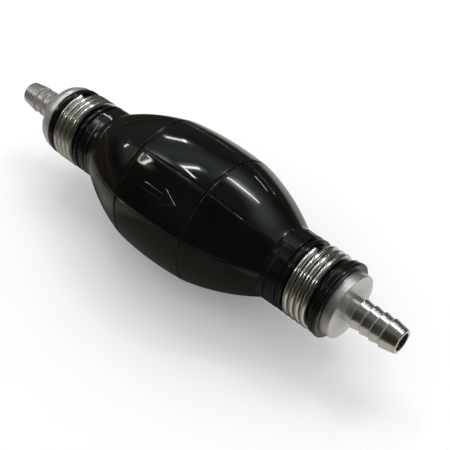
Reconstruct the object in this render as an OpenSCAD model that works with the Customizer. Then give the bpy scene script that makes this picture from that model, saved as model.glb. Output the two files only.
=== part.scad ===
// Siphon bulb pump for 10 mm fuel hose: a moulded rubber squeeze bulb on two barbed
// metal fittings, each with a spring-loaded check valve in its spigot.
// The pump's axis is +X, the way the liquid flows, and the origin is the bulb's centre.

/* [Bulb] */
// Radius of the bulb at the middle of a panel, at the two moulded rings
ring_r = 24.2; // [20:0.1:26]
// How far the belly bulges past the rings
belly_rise = 0.9; // [0.4:0.05:1.6]
// Distance of each moulded ring from the bulb's centre
ring_x = 15.3; // [12:0.1:18]
// Distance of the sharp crease, where shoulder meets neck, from the centre
crease_x = 42.2; // [38:0.1:48]
// Outward bulge of the shoulder's curve over its chord
shoulder_bulge = 1.25; // [0.6:0.05:2]
// How far the panels' own centre lines lie behind the pump's axis, more is flatter
panel_shift = 13.4; // [6:0.1:18]
// Wall of the bulb
bulb_wall = 3.0; // [2:0.1:4]
// Width of the moulded grooves
groove_w = 1.2; // [0.8:0.1:1.8]
// Depth of the moulded grooves
groove_depth = 0.5; // [0.3:0.05:0.8]
// How far the soft rubber is pressed flat where the bulb rests on its lowest panel
rest_flat = 0.15; // [0.1:0.05:0.3]

/* [Neck] */
// Outer radius of the rubber neck
neck_r = 13.7; // [13.2:0.1:15]
// Length of the rubber neck, from the crease to its end
neck_len = 23.3; // [22:0.1:26]
// Plain length of neck beside the crease
plain_len = 5.8; // [4:0.1:7]
// Width of the shallow groove beside the collar
collar_gap = 1.2; // [0.8:0.1:2]
// Width of the collar that keeps the clamp off the plain neck
collar_w = 1.8; // [1.4:0.1:2.4]
// Width of the lip that bears on the fitting's flange
lip_w = 1.3; // [1:0.1:1.8]
// Height of the lip above the neck
lip_h = 0.3; // [0.1:0.05:0.6]

/* [Clamps] */
// Diameter of the clamp wire
wire_d = 2.05; // [1.8:0.05:2.05]
// Distance from one turn to the next
wire_pitch = 2.5; // [2.5:0.05:2.6]
// Number of turns
wire_turns = 3.5; // [3:0.25:3.5]
// Clearance between the wire and its seat in the neck
wire_gap = 0.2; // [0.2:0.05:0.4]

/* [Fittings] */
// Diameter of the outlet's flange
flange_d = 23.4; // [21:0.1:27]
// Thickness of the outlet's flange
flange_t = 3.7; // [3:0.1:4.5]
// Length of the outlet's barbed nipple outside the flange
nipple_len = 19.8; // [19:0.1:24]
// Number of barbs
barbs = 4; // [3:1:4]
// Distance from one barb to the next
barb_pitch = 3.67; // [3.2:0.01:3.8]
// Plain length between the flange and the first barb
barb_start = 3.3; // [2:0.1:4]
// Diameter over the barbs
barb_d = 10.7; // [10.4:0.1:12]
// Diameter at the foot of each barb
root_d = 9.6; // [9:0.1:10.2]
// Diameter of the nipple's tip
tip_d = 8.5; // [8:0.1:9.4]
// Diameter of the bore
bore_d = 6.4; // [5.6:0.1:6.8]
// Outer diameter of the spigot inside the neck
spigot_d = 18.0; // [17.6:0.1:18.6]
// Length of the spigot, from the flange
spigot_len = 21.0; // [20.5:0.1:22]
// Number of holding ribs on the spigot
ribs = 3; // [2:1:4]
// Height of the holding ribs
rib_h = 0.5; // [0.3:0.05:0.6]
// Clearance between the spigot and the rubber
spigot_gap = 0.15; // [0.1:0.05:0.3]

/* [Inlet end] */
// Diameter of the inlet's flange, which is larger than the outlet's
inlet_flange_d = 26.4; // [24:0.1:28]
// Length of the taper on the outer side of the inlet's flange
inlet_taper_len = 2.8; // [1:0.1:3.2]
// How much that taper takes off the radius
inlet_taper_h = 1.1; // [0.5:0.1:1.5]
// How much shorter the inlet's neck is, where its flange is thicker
inlet_neck_cut = 1.1; // [0.5:0.1:1.4]
// How much closer to the bulb the inlet's collar and clamp sit
inlet_set_back = 1.6; // [0.6:0.1:1.8]
// Length of the inlet's nipple outside the flange
inlet_nipple_len = 20.6; // [19.6:0.1:24]
// Distance from the flange to the first barb of the inlet
inlet_barb_start = 2.6; // [2:0.1:4]

/* [Check valves] */
// Diameter of the valve chamber in the spigot
chamber_d = 14.8; // [14.4:0.1:15.2]
// Clearance between the chamber and the round pieces held in it
chamber_gap = 0.05; // [0.02:0.01:0.1]
// Diameter of the valve head
head_d = 11.2; // [10.8:0.1:11.8]
// Thickness of the valve head
head_t = 2.0; // [1.6:0.1:2.4]
// Diameter of the valve's guide stem
stem_d = 3.0; // [2.6:0.1:3.4]
// Clearance round the guide stem
stem_gap = 0.05; // [0.02:0.01:0.1]
// How far each valve opens, until its boss meets the guide plate's hub
lift = 3.0; // [2:0.1:3.4]
// Room for the spring, with the valve closed
spring_room = 10.4; // [9.6:0.1:10.8]
// Mean diameter of the valve spring
spring_d = 6.4; // [6.2:0.1:7]
// Wire of the valve spring
spring_wire = 0.7; // [0.5:0.05:0.8]
// Turns of the valve spring
spring_turns = 6; // [5:1:7]
// Thickness of the guide plate
plate_t = 1.6; // [1.2:0.1:2]
// Number of flow holes in the guide plate
flow_holes = 6; // [5:1:7]
// Diameter of each flow hole
flow_d = 2.4; // [1.8:0.1:2.6]
// Thickness of the seat seal
seal_t = 1.5; // [1.2:0.1:1.9]
// Outer diameter of the seat seal
seal_d = 12.6; // [12:0.1:13.2]
// How far the seal is let into its seat
seal_sunk = 0.9; // [0.6:0.1:1]
// Thickness of the loose seat ring in the outlet
seat_t = 2.4; // [2:0.1:2.8]
// Thickness of the retaining ring
clip_t = 1.0; // [0.8:0.1:1.2]
// Depth of the retaining ring's groove in the chamber wall
clip_groove = 0.8; // [0.6:0.05:0.9]
// Distance of the retaining ring from the spigot's end
clip_inset = 1.7; // [1.2:0.1:2]

/* [Hidden] */

panels = 8;
panel_angle = 360 / panels;
edge = 0.3;                 // small chamfers
far = 60;                   // reach of cutting shapes
round_fn = 96;              // facets drawn on a turned piece
arc_fn = 240;               // facets drawn on the long profile arcs

// Stations along the axis, as distances from the bulb's centre
neck_end = crease_x + neck_len;
flange_face = neck_end + flange_t;
tip_x = flange_face + nipple_len;
inlet_tip_x = flange_face + inlet_nipple_len;
inlet_neck_end = neck_end - inlet_neck_cut;
spigot_end = neck_end - spigot_len;
collar_x = crease_x + plain_len + collar_gap;
seat_x0 = collar_x + collar_w;
clamp_w = wire_turns * wire_pitch + wire_d;
seat_x1 = seat_x0 + clamp_w + 2 * wire_gap;

// Stations of the two valves, as distances from the bulb's centre
clip_x0 = spigot_end + clip_inset;
clip_x1 = clip_x0 + clip_t;
seal_proud = seal_t - seal_sunk;
inlet_plate_x = clip_x1;
inlet_back_x = inlet_plate_x + plate_t + spring_room;
inlet_seat_x = inlet_back_x + head_t + seal_proud;
outlet_seat_x = clip_x1 + seat_t;
outlet_back_x = outlet_seat_x + seal_proud + head_t;
outlet_plate_x = outlet_back_x + spring_room;
outlet_shoulder_x = outlet_plate_x + plate_t;

// Small fixed sizes
rib_first = 2;              // from the flange to the first holding rib
rib_run = 3;                // length of a holding rib's slope
rib_flat = 0.6;             // length of its flat top
wire_proud = 0.1;           // the clamp wire stands this far above the neck's surface
port_step = 0.4;            // the port in a seal is this much wider than the bore
collector_step = 1.4;       // shoulder that carries the outlet's guide plate
seal_play = 0.02;           // round the seat seal
clip_play = 0.1;            // round the retaining ring
clip_side_play = 0.02;      // on each side of the retaining ring
clip_wide = 1.5;
clip_open = 46;             // angle of the ring's gap
lug_r = 1.25;
lug_hole_r = 0.5;
lug_side = 1.1;             // from the gap's edge to the middle of the lug
spring_clear = 0.3;         // between the spring and the hub or boss inside it
spring_end_gap = 0.3;
stop_gap = 0.05;            // left between boss and hub with the valve open
boss_h = 0.8;
stem_end = 1;               // length of stem beyond the guide plate, valve closed

// Radii and lengths that follow
spigot_r = spigot_d / 2;
flange_r = flange_d / 2;
inlet_flange_r = inlet_flange_d / 2;
bore_r = bore_d / 2;
chamber_r = chamber_d / 2;
held_r = chamber_r - chamber_gap;
head_r = head_d / 2;
stem_r = stem_d / 2;
seal_r = seal_d / 2;
port_r = bore_r + port_step;
collector_r = chamber_r - collector_step;
clip_r = chamber_r + clip_groove;
lug_at = clip_r - clip_wide - 0.2;
shoulder_end_r = neck_r - 0.8;   // the panels' corners end inside the neck too
edge_floor = groove_depth / 3;
edge_floor_end = 2 * groove_depth;
groove_reach = crease_x - 3;     // the panel grooves have faded out before this
neck_root_len = 6;               // the neck's root is a cone hidden in the shoulder
clamp_r = neck_r + wire_proud - wire_d / 2;
clamp_seat_r = clamp_r - wire_d / 2 - wire_gap;
hub_r = (spring_d - spring_wire) / 2 - spring_clear;
hub_h = spring_room - boss_h - lift - stop_gap;
flow_r = (hub_r + held_r) / 2;
stem_len = spring_room + plate_t + stem_end;
rubber = [0.12, 0.12, 0.13];
bare_metal = [0.80, 0.79, 0.77];

// A turned piece along +X, from points or shapes given as [radius, x]
module turned() rotate([0, 90, 0]) rotate_extrude($fn = round_fn) children();

// The inlet end mirrors what is drawn for the outlet end
module at_inlet() mirror([1, 0, 0]) children();

// The flat region between the axis and an arc from [r0, x0] to [r1, x1]
module under_arc(r0, x0, r1, x1, bulge) {
    chord = norm([r1 - r0, x1 - x0]);
    arc_r = (chord * chord / 4 + bulge * bulge) / (2 * bulge);
    out = [x1 - x0, r0 - r1] / chord;
    centre = [r0 + r1, x0 + x1] / 2 - (arc_r - bulge) * out;
    intersection() {
        translate(centre) circle(r = arc_r, $fn = arc_fn);
        translate([0, x0]) square([far, x1 - x0]);
    }
}

// The bulb's long profile, moved out by add at the belly and by add_neck at the necks
module bulb_profile(add = 0, add_neck = 0) {
    under_arc(ring_r + add, -ring_x, ring_r + add, ring_x, belly_rise);
    for (side = [0, 1]) mirror([0, side])
        under_arc(ring_r + add, ring_x, shoulder_end_r + add_neck, crease_x, shoulder_bulge);
}

// The panelled form: each panel is a part of a lathe turned about a line behind the axis
module panelled_form() {
    intersection_for(i = [0 : panels - 1])
        rotate([i * panel_angle, 0, 0])
            translate([0, 0, -panel_shift])
                turned() bulb_profile(panel_shift, panel_shift);
}

// The two rings round the bulb, and the groove along each edge between two panels, whose
// floor rises from edge_floor to edge_floor_end and so runs out on the shoulder
module moulded_grooves() {
    for (side = [-1, 1])
        turned()
            translate([ring_r - groove_depth, side * ring_x - groove_w / 2])
                square([far, groove_w]);
    difference() {
        for (i = [0 : panels - 1])
            rotate([(i + 0.5) * panel_angle, 0, 0])
                translate([-groove_reach, -groove_w / 2, 0]) cube([2 * groove_reach, groove_w, far]);
        turned() bulb_profile(edge_floor, edge_floor_end);
    }
}

// Outline of the rubber neck, as [radius, x] from the bulb's inside to the clamp's far side,
// with collar and clamp set back towards the bulb
function neck_outline(set_back) = concat(
    [[0, crease_x - neck_root_len], [shoulder_end_r - 1, crease_x - neck_root_len],
     [neck_r, crease_x]],
    [for (p = [
        [neck_r, crease_x + plain_len - edge], [neck_r - edge, crease_x + plain_len],
        [neck_r - 1, crease_x + plain_len + edge], [neck_r - 1, collar_x - edge],
        [neck_r - edge, collar_x], [neck_r, collar_x + edge], [neck_r, seat_x0 - edge],
        [neck_r - edge, seat_x0], [clamp_seat_r, seat_x0], [clamp_seat_r, seat_x1],
        [neck_r - edge, seat_x1], [neck_r, seat_x1 + edge]
    ]) p - [0, set_back]]
);

// The end of the outlet's neck has a lip, and the end of the inlet's is plain
function lip_outline() = [
    [neck_r, neck_end - lip_w - 2 * edge], [neck_r - 2 * edge, neck_end - lip_w - edge],
    [neck_r + lip_h - edge, neck_end - lip_w], [neck_r + lip_h, neck_end - lip_w + edge],
    [neck_r + lip_h, neck_end - edge], [neck_r + lip_h - edge, neck_end], [0, neck_end]
];
function plain_end_outline() = [
    [neck_r, inlet_neck_end - edge], [neck_r - edge, inlet_neck_end], [0, inlet_neck_end]
];

// Outline of the spigot with its holding ribs, grown by gap, from the flange inwards
function spigot_outline(gap) = [
    for (i = [0 : ribs - 1])
        let (pitch = (spigot_len - rib_run) / ribs, x = neck_end - rib_first - i * pitch)
        each [
            [spigot_r + gap, x], [spigot_r + rib_h + gap, x],
            [spigot_r + rib_h + gap, x - rib_flat], [spigot_r + gap, x - rib_run]
        ]
];

module bulb() color(rubber) difference() {
    union() {
        panelled_form();
        turned() polygon(concat(neck_outline(0), lip_outline()));
        at_inlet() turned() polygon(concat(neck_outline(inlet_set_back), plain_end_outline()));
    }
    moulded_grooves();
    translate([-far / 2, -far / 2, rest_flat - ring_r - belly_rise - far]) cube(far);
    turned() bulb_profile(-bulb_wall, -bulb_wall);
    for (side = [0, 1]) mirror([side, 0, 0]) turned() polygon(concat(
        [[0, neck_end + 1], [spigot_r + spigot_gap, neck_end + 1]], spigot_outline(spigot_gap),
        [[spigot_r + spigot_gap, crease_x - 2], [0, crease_x - 2]]
    ));
}

// Outline of a barbed nipple from the flange to its tip at end_x, with its first barb at first
function nipple_outline(first, end_x) = [
    [root_d / 2, flange_face],
    for (i = [0 : barbs - 1])
        let (x = flange_face + first + i * barb_pitch)
        each [[root_d / 2, x - 0.05], [barb_d / 2, x + 0.15]],
    [tip_d / 2, end_x - edge], [tip_d / 2 - edge, end_x], [0, end_x]
];

// A fitting: its spigot, then what outline adds, with its bore and its valve chamber as deep
// as floor_x
module fitting(floor_x, outline) {
    difference() {
        turned() polygon(concat(
            [[0, spigot_end], [spigot_r - edge, spigot_end], [spigot_r, spigot_end + edge]],
            [for (i = [len(spigot_outline(0)) - 1 : -1 : 0]) spigot_outline(0)[i]], outline
        ));
        turned() translate([0, spigot_end - 1]) square([bore_r, far]);
        turned() translate([0, spigot_end - 1]) square([chamber_r, floor_x - spigot_end + 1]);
        turned() translate([0, clip_x0]) square([clip_r, clip_t]);
    }
}

module inlet_fitting() color(bare_metal) at_inlet() difference() {
    fitting(inlet_seat_x, concat([
        [spigot_r, inlet_neck_end], [inlet_flange_r - edge, inlet_neck_end],
        [inlet_flange_r, inlet_neck_end + edge], [inlet_flange_r, flange_face - inlet_taper_len],
        [inlet_flange_r - inlet_taper_h, flange_face - edge],
        [inlet_flange_r - inlet_taper_h - edge, flange_face]
    ], nipple_outline(inlet_barb_start, inlet_tip_x)));
    turned() square([seal_r, inlet_seat_x + seal_sunk]);
}

module outlet_fitting() color(bare_metal) difference() {
    fitting(outlet_shoulder_x, concat([
        [spigot_r, neck_end], [flange_r - edge, neck_end], [flange_r, neck_end + edge],
        [flange_r, flange_face - edge], [flange_r - edge, flange_face]
    ], nipple_outline(barb_start, tip_x)));
    turned() polygon([
        [0, outlet_shoulder_x - 1], [collector_r, outlet_shoulder_x - 1],
        [collector_r, outlet_shoulder_x], [bore_r, outlet_shoulder_x + collector_r - bore_r],
        [0, outlet_shoulder_x + collector_r - bore_r]
    ]);
}

// Rings of points along a helix about +X, with a straight run of one wire at each end.
// Each station is [angle, x], and run moves it on along the wire's own direction.
function helix_stations(turns, pitch, x0, steps, run) = [
    [0, x0, -run],
    for (i = [0 : turns * steps]) [i * 360 / steps, x0 + i * pitch / steps, 0],
    [turns * 360, x0 + turns * pitch, run]
];
function helix_dir(a, r, pitch) =
    let (d = [pitch / (2 * PI * r), -sin(a), cos(a)]) d / norm(d);
function helix_centre(s, r, pitch) =
    [s[1], r * cos(s[0]), r * sin(s[0])] + s[2] * helix_dir(s[0], r, pitch);
function helix_ring(s, r, pitch, wire_r, sides) =
    let (out = [0, cos(s[0]), sin(s[0])], across = cross(helix_dir(s[0], r, pitch), out))
    [for (k = [0 : sides - 1])
        helix_centre(s, r, pitch)
        + wire_r * (cos(k * 360 / sides) * out + sin(k * 360 / sides) * across)];

// The least gap between points that lie at least half a turn apart along the wire
function least_gap(centres, steps, wire) = min([
    for (i = [0 : len(centres) - 1], j = [i + floor(steps / 2) : 1 : len(centres) - 1])
        norm(centres[i] - centres[j])
]) - wire;

module wound_wire(label, r, turns, pitch, wire, x0, start_angle, steps) {
    sides = 6;
    stations = helix_stations(turns, pitch, x0, steps, wire);
    n = len(stations);
    echo(str(label, " least gap between turns, mm: "),
        least_gap([for (s = stations) helix_centre(s, r, pitch)], steps, wire));
    rotate([start_angle, 0, 0]) polyhedron(
        points = [for (s = stations) each helix_ring(s, r, pitch, wire / 2, sides)],
        faces = concat(
            [for (i = [0 : n - 2], k = [0 : sides - 1])
                let (a = i * sides + k, b = i * sides + (k + 1) % sides)
                each [[a, b, a + sides], [b, b + sides, a + sides]]],
            [for (k = [1 : sides - 2]) [0, k + 1, k]],
            [for (k = [1 : sides - 2]) [(n - 1) * sides, (n - 1) * sides + k, (n - 1) * sides + k + 1]]
        )
    );
}

// Both clamps are wound alike and put on the same way round, with the cut end on top
clamp_end_angle = 80;
module clamp(x0) color([0.78, 0.77, 0.72])
    wound_wire("clamp", clamp_r, wire_turns, wire_pitch, wire_d,
        x0 + wire_gap + wire_d / 2, clamp_end_angle, 24);

module inlet_clamp() clamp(inlet_set_back - seat_x1);
module outlet_clamp() clamp(seat_x0);

// Seat seal: a flat rubber washer from x0 to x0 + seal_t
module seal(x0) color([0.16, 0.15, 0.14]) turned() polygon([
    [port_r, x0], [seal_r - seal_play, x0], [seal_r - seal_play, x0 + seal_t],
    [port_r, x0 + seal_t]
]);

module inlet_seal() at_inlet() seal(inlet_seat_x - seal_proud);
module outlet_seal() seal(outlet_seat_x - seal_sunk);

// Valve poppet: its sealing face at x = 0 and its guide stem towards +X
module poppet() color([0.86, 0.84, 0.78]) turned() polygon([
    [0, 0], [head_r - edge, 0], [head_r, edge], [head_r, head_t - 2 * edge],
    [head_r - 2 * edge, head_t], [hub_r, head_t], [hub_r, head_t + boss_h - edge],
    [hub_r - edge, head_t + boss_h], [stem_r, head_t + boss_h],
    [stem_r, head_t + stem_len - edge], [stem_r - edge, head_t + stem_len],
    [0, head_t + stem_len]
]);

module inlet_valve() translate([-inlet_seat_x + seal_proud, 0, 0]) poppet();
module outlet_valve() translate([outlet_seat_x + seal_proud, 0, 0]) poppet();

// Valve spring between x0 and x0 + spring_room
module spring(x0) color([0.70, 0.71, 0.73]) {
    clear = spring_end_gap + spring_wire / 2;
    wound_wire("spring", spring_d / 2, spring_turns,
        (spring_room - 2 * clear) / spring_turns, spring_wire, x0 + clear, 0, 8);
}

module inlet_spring() spring(-inlet_back_x);
module outlet_spring() spring(outlet_back_x);

// Guide plate: its spring side at x = 0, its hub towards -X and its flow holes round the hub
module guide_plate() color([0.80, 0.66, 0.36]) difference() {
    union() {
        turned() polygon([
            [0, 0], [held_r - edge, 0], [held_r, edge], [held_r, plate_t - edge],
            [held_r - edge, plate_t], [0, plate_t]
        ]);
        turned() translate([0, -hub_h]) square([hub_r, hub_h + plate_t / 2]);
    }
    turned() translate([0, -hub_h - 1]) square([stem_r + stem_gap, far]);
    for (i = [0 : flow_holes - 1])
        rotate([(i + 0.5) * 360 / flow_holes, 0, 0]) translate([-1, flow_r, 0])
            rotate([0, 90, 0]) cylinder(h = plate_t + 2, d = flow_d, $fn = 32);
}

module inlet_guide_plate() translate([-inlet_plate_x - plate_t, 0, 0]) guide_plate();
module outlet_guide_plate() translate([outlet_plate_x, 0, 0]) guide_plate();

// Seat ring: carries the outlet's seal and closes the chamber on the bulb's side
module outlet_seat_ring() color(bare_metal) turned() polygon([
    [port_r, clip_x1], [held_r - edge, clip_x1], [held_r, clip_x1 + edge],
    [held_r, outlet_seat_x], [seal_r, outlet_seat_x], [seal_r, outlet_seat_x - seal_sunk],
    [port_r, outlet_seat_x - seal_sunk]
]);

// Retaining ring: a flat spring ring with two eyed lugs, its face at x = 0
module retaining_ring() color([0.55, 0.56, 0.58])
    rotate([90, 0, 90]) linear_extrude(clip_t - 2 * clip_side_play) difference() {
        union() {
            difference() {
                circle(r = clip_r - clip_play, $fn = round_fn);
                circle(r = clip_r - clip_play - clip_wide, $fn = round_fn);
                polygon([[0, 0], far * [cos(clip_open / 2), sin(clip_open / 2)],
                    far * [cos(clip_open / 2), -sin(clip_open / 2)]]);
            }
            for (side = [-1, 1]) rotate(side * clip_open / 2)
                translate([lug_at, side * lug_side])
                    circle(r = lug_r, $fn = 32);
        }
        for (side = [-1, 1]) rotate(side * clip_open / 2)
            translate([lug_at, side * lug_side])
                circle(r = lug_hole_r, $fn = 24);
    }

module outlet_retaining_ring() translate([clip_x0 + clip_side_play, 0, 0]) retaining_ring();
module inlet_retaining_ring() at_inlet() outlet_retaining_ring();

bulb();
inlet_fitting();
outlet_fitting();
inlet_clamp();
outlet_clamp();
inlet_seal();
inlet_valve();
inlet_spring();
inlet_guide_plate();
inlet_retaining_ring();
outlet_seal();
outlet_valve();
outlet_spring();
outlet_guide_plate();
outlet_seat_ring();
outlet_retaining_ring();
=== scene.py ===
"""Siphon bulb pump: a black panelled rubber bulb between two barbed aluminium fittings.

Lengths in the shape functions are millimetres, as on the drawing of the pump, and are turned
into metres where a mesh is made. The pump's axis is x, and angles round it run from +y to +z.
"""
import math

import bpy
import numpy as np
from mathutils import Matrix, Vector


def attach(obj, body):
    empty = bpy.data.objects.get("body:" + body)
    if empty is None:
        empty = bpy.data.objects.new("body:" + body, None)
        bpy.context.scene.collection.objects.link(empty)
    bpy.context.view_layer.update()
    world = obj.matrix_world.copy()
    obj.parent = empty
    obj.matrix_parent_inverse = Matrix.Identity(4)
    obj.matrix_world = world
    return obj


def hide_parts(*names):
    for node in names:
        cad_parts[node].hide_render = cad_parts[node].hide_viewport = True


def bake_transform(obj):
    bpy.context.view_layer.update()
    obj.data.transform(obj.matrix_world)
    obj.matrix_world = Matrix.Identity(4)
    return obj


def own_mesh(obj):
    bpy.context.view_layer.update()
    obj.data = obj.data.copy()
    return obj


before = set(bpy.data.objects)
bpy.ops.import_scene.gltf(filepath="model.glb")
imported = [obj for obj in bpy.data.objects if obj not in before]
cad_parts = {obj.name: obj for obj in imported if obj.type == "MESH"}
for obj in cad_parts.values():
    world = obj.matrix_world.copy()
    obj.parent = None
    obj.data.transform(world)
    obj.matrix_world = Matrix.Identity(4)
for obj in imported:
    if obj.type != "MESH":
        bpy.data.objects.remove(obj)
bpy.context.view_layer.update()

MM = 0.001

# Bulb: panels, the two rings, and shoulders that end at the creases
PANELS = 8
PANEL_ANGLE = 2 * math.pi / PANELS
PANEL_SHIFT = 13.4
RING_R = 24.2
RING_X = 15.3
BELLY_RISE = 0.9
CREASE_X = 42.2
SHOULDER_BULGE = 1.25
SHOULDER_END_R = 12.9
WALL = 3.0
REST_Z = -24.95

# Grooves along the panels' edges and round the rings. A band is where a groove is deepest and
# where it ends, both from its middle, and a fade is where it runs out along x. The rubber rolls
# down beside them, and past their ends the panels' sharp edges are just eased. The dust in them
# has a band and a fade of its own.
GROOVE_DEPTH = 0.62
GROOVE_FADE = (24, 33)
EDGE_BAND = (-0.12, 0.5)
RING_BAND = (-0.1, 0.6)
EDGE_ROLL, EDGE_ROLL_WIDTH = 0.05, 0.7
RING_ROLL, RING_ROLL_WIDTH = 0.06, 0.85
EDGE_EASE = 0.15
DUST_BAND = (0.2, 0.9)
DUST_FADE = (25, 34)

# Necks, with the width of the blend into the shoulders and the place where it starts
NECK_R = 13.7
NECK_GROOVE_R = 12.75
NECK_BLEND = 0.16
NECK_BLEND_X = 36
NECK_END = 65.5
LIP_R = 14.0
CROWN_R = 13.35
INLET_NECK_END = 64.4
INLET_SET_BACK = 1.2
SPIGOT_PLAY = 0.15

# Clamps. A wire begins at X0 along x, and at WIRE_START degrees round it.
CLAMP_SEAT_R = 11.55
CLAMP_X0 = 50.8
INLET_CLAMP_X0 = -61.35
WIRE_D = 2.05
WIRE_R = 12.775
WIRE_PITCH = 2.4
WIRE_TURNS = 3.5
WIRE_START = 88.0

# Fittings
FLANGE_R = 11.7
INLET_FLANGE_R = 13.2
FLANGE_FACE = 69.2
SPIGOT_R = 9.0
SPIGOT_END = 44.5
RIB_ENDS = (63.5, 57.5, 51.5)
RIB_RISE = 0.5
RIB_LAND = 0.6
RIB_LENGTH = 3.0
BORE_R = 3.2
CHAMBER_R = 7.4
SNAP_SLOT = (46.2, 47.2)
SNAP_SLOT_R = 8.2
BARBS = 4
BARB_PITCH = 3.67
BARB_R = 5.35
ROOT_R = 4.7
TIP_R = 4.5
INLET_FIRST_BARB, INLET_TIP = 2.6, 89.8
OUTLET_FIRST_BARB, OUTLET_TIP = 3.3, 89.0

# Valve springs, and the room that each works in, from its poppet to its fixed end
SPRING_WIRE = 0.7
SPRING_R = 3.2
SPRING_TURNS = 6
SPRING_ROOM = 10.4
INLET_SPRING = (-59.2, -48.8)
OUTLET_SPRING = (52.2, 62.6)
SPRING_GAP = 0.3

# Camera: the way back from the pump to it, its place along its own right, up and back, and
# its lens and sensor
CAMERA_BACK = (0.463, -0.500, 0.731)
CAMERA_PLACE = (10.69, -8.07, 324.6)
LENS, SENSOR = 73.6, 36

# Studio: lamps and floor in metres, the dome in millimetres like every other mesh
LAMP_DISTANCE = 1.3
FLOOR_HALF = 3
FLOOR_GLOW = 0.10
DOME_R = 2200

# Tones of wear and dirt, and the painted shade in the metal's hollows
RUBBED_GREY = (0.085, 0.080, 0.070)
DUST = (0.055, 0.048, 0.036)
TARNISH = (0.25, 0.17, 0.09)
# painted shade: the dull brown that darkens the metal's hollows
HOLLOW_SHADE = (0.045, 0.033, 0.022)


# ---------------------------------------------------------------- meshes

def smooth_step(low, high, value):
    """0 up to low, 1 from high on, and 3t^2 - 2t^3 between them; low may be the greater."""
    t = np.clip((value - low) / (high - low), 0, 1)
    return t * t * (3 - 2 * t)


def spread(*spans):
    """Stations of one row of spans, each (from, to, count), without the shared ends."""
    return np.concatenate([np.linspace(a, b, n, endpoint=False) for a, b, n in spans])


def add_object(name, data):
    """A new object at the origin, linked to the scene."""
    made = bpy.data.objects.new(name, data)
    bpy.context.scene.collection.objects.link(made)
    return made


def add_mesh(name, points, faces, values=None):
    """A smooth mesh from points in millimetres and quads. Where the signed volume under the
    faces is negative they point inwards, and every one is turned round. Values are numbers or
    colours for each point, kept as attributes."""
    a, b, c, d = (points[faces[:, k]] for k in range(4))
    volume = np.einsum("ij,ij->", a, np.cross(b, c)) + np.einsum("ij,ij->", a, np.cross(c, d))
    if volume < 0:
        faces = faces[:, ::-1]
    mesh = bpy.data.meshes.new(name)
    mesh.vertices.add(len(points))
    mesh.vertices.foreach_set("co", (points * MM).astype(np.float32).ravel())
    mesh.loops.add(faces.size)
    mesh.loops.foreach_set("vertex_index", np.ascontiguousarray(faces).ravel().astype(np.int32))
    mesh.polygons.add(len(faces))
    mesh.polygons.foreach_set("loop_start", np.arange(len(faces), dtype=np.int32) * 4)
    mesh.polygons.foreach_set("loop_total", np.full(len(faces), 4, np.int32))
    mesh.polygons.foreach_set("use_smooth", np.ones(len(faces), bool))
    mesh.update(calc_edges=True)
    mesh.validate()
    for key, value in (values or {}).items():
        if value.ndim == 2:
            layer = mesh.attributes.new(key, "FLOAT_COLOR", "POINT")
            value = np.concatenate([value, np.ones((len(value), 1))], 1)
            layer.data.foreach_set("color", value.ravel().astype(np.float32))
        else:
            layer = mesh.attributes.new(key, "FLOAT", "POINT")
            layer.data.foreach_set("value", value.astype(np.float32))
    return add_object(name, mesh)


def grid_piece(name, grid, closed_rows, values=None):
    """A piece over a grid of points, rows by columns. Each quad joins a point with its neighbours
    in the next row and column. Columns always close round, and rows only where they form a ring;
    otherwise each end row is closed by quads across it, from one side to the other."""
    rows, columns = grid.shape[:2]
    i, j = np.meshgrid(np.arange(rows if closed_rows else rows - 1), np.arange(columns),
                       indexing="ij")
    down, across = (i + 1) % rows, (j + 1) % columns
    faces = [np.stack([i * columns + j, down * columns + j, down * columns + across,
                       i * columns + across], -1).reshape(-1, 4)]
    if not closed_rows:
        k = np.arange(columns // 2 - 1)
        cap = np.stack([k, k + 1, columns - 2 - k, columns - 1 - k], -1)
        faces += [cap, cap[:, ::-1] + (rows - 1) * columns]
    return add_mesh(name, grid.reshape(-1, 3), np.concatenate(faces), values)


def filleted(outline, steps=4, hold=0.04):
    """A closed outline of (x, radius, fillet) with every corner rounded. Each corner becomes a
    parabola between two points one fillet away on its two sides, with a holding point just
    beyond each, and no fillet takes more than two fifths of a side."""
    at, size = outline[:, :2], outline[:, 2:]
    back, ahead = np.roll(at, 1, 0) - at, np.roll(at, -1, 0) - at
    back_len = np.linalg.norm(back, axis=1, keepdims=True)
    ahead_len = np.linalg.norm(ahead, axis=1, keepdims=True)
    cut = np.minimum(size, 0.4 * np.minimum(back_len, ahead_len))
    into, out = back / back_len, ahead / ahead_len
    spare = np.minimum(hold, 0.2 * cut)
    start, end = at + into * cut, at + out * cut
    u = np.linspace(0, 1, steps + 1)[None, :, None]
    curve = (1 - u) ** 2 * start[:, None] + 2 * u * (1 - u) * at[:, None] + u ** 2 * end[:, None]
    return np.concatenate([(start + into * spare)[:, None], curve, (end + out * spare)[:, None]],
                          1).reshape(-1, 2)


def turned(name, outline, values, segments=176):
    """A turned piece: the closed outline carried round the x axis in equal steps, with values
    for each point of the outline kept as attributes."""
    angle = np.linspace(0, 2 * np.pi, segments, endpoint=False)
    x, r = outline[:, :1], outline[:, 1:]
    grid = np.stack(np.broadcast_arrays(x, r * np.cos(angle), r * np.sin(angle)), -1)
    values = {key: np.repeat(value, segments) for key, value in values.items()}
    return grid_piece(name, grid, True, values)


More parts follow.
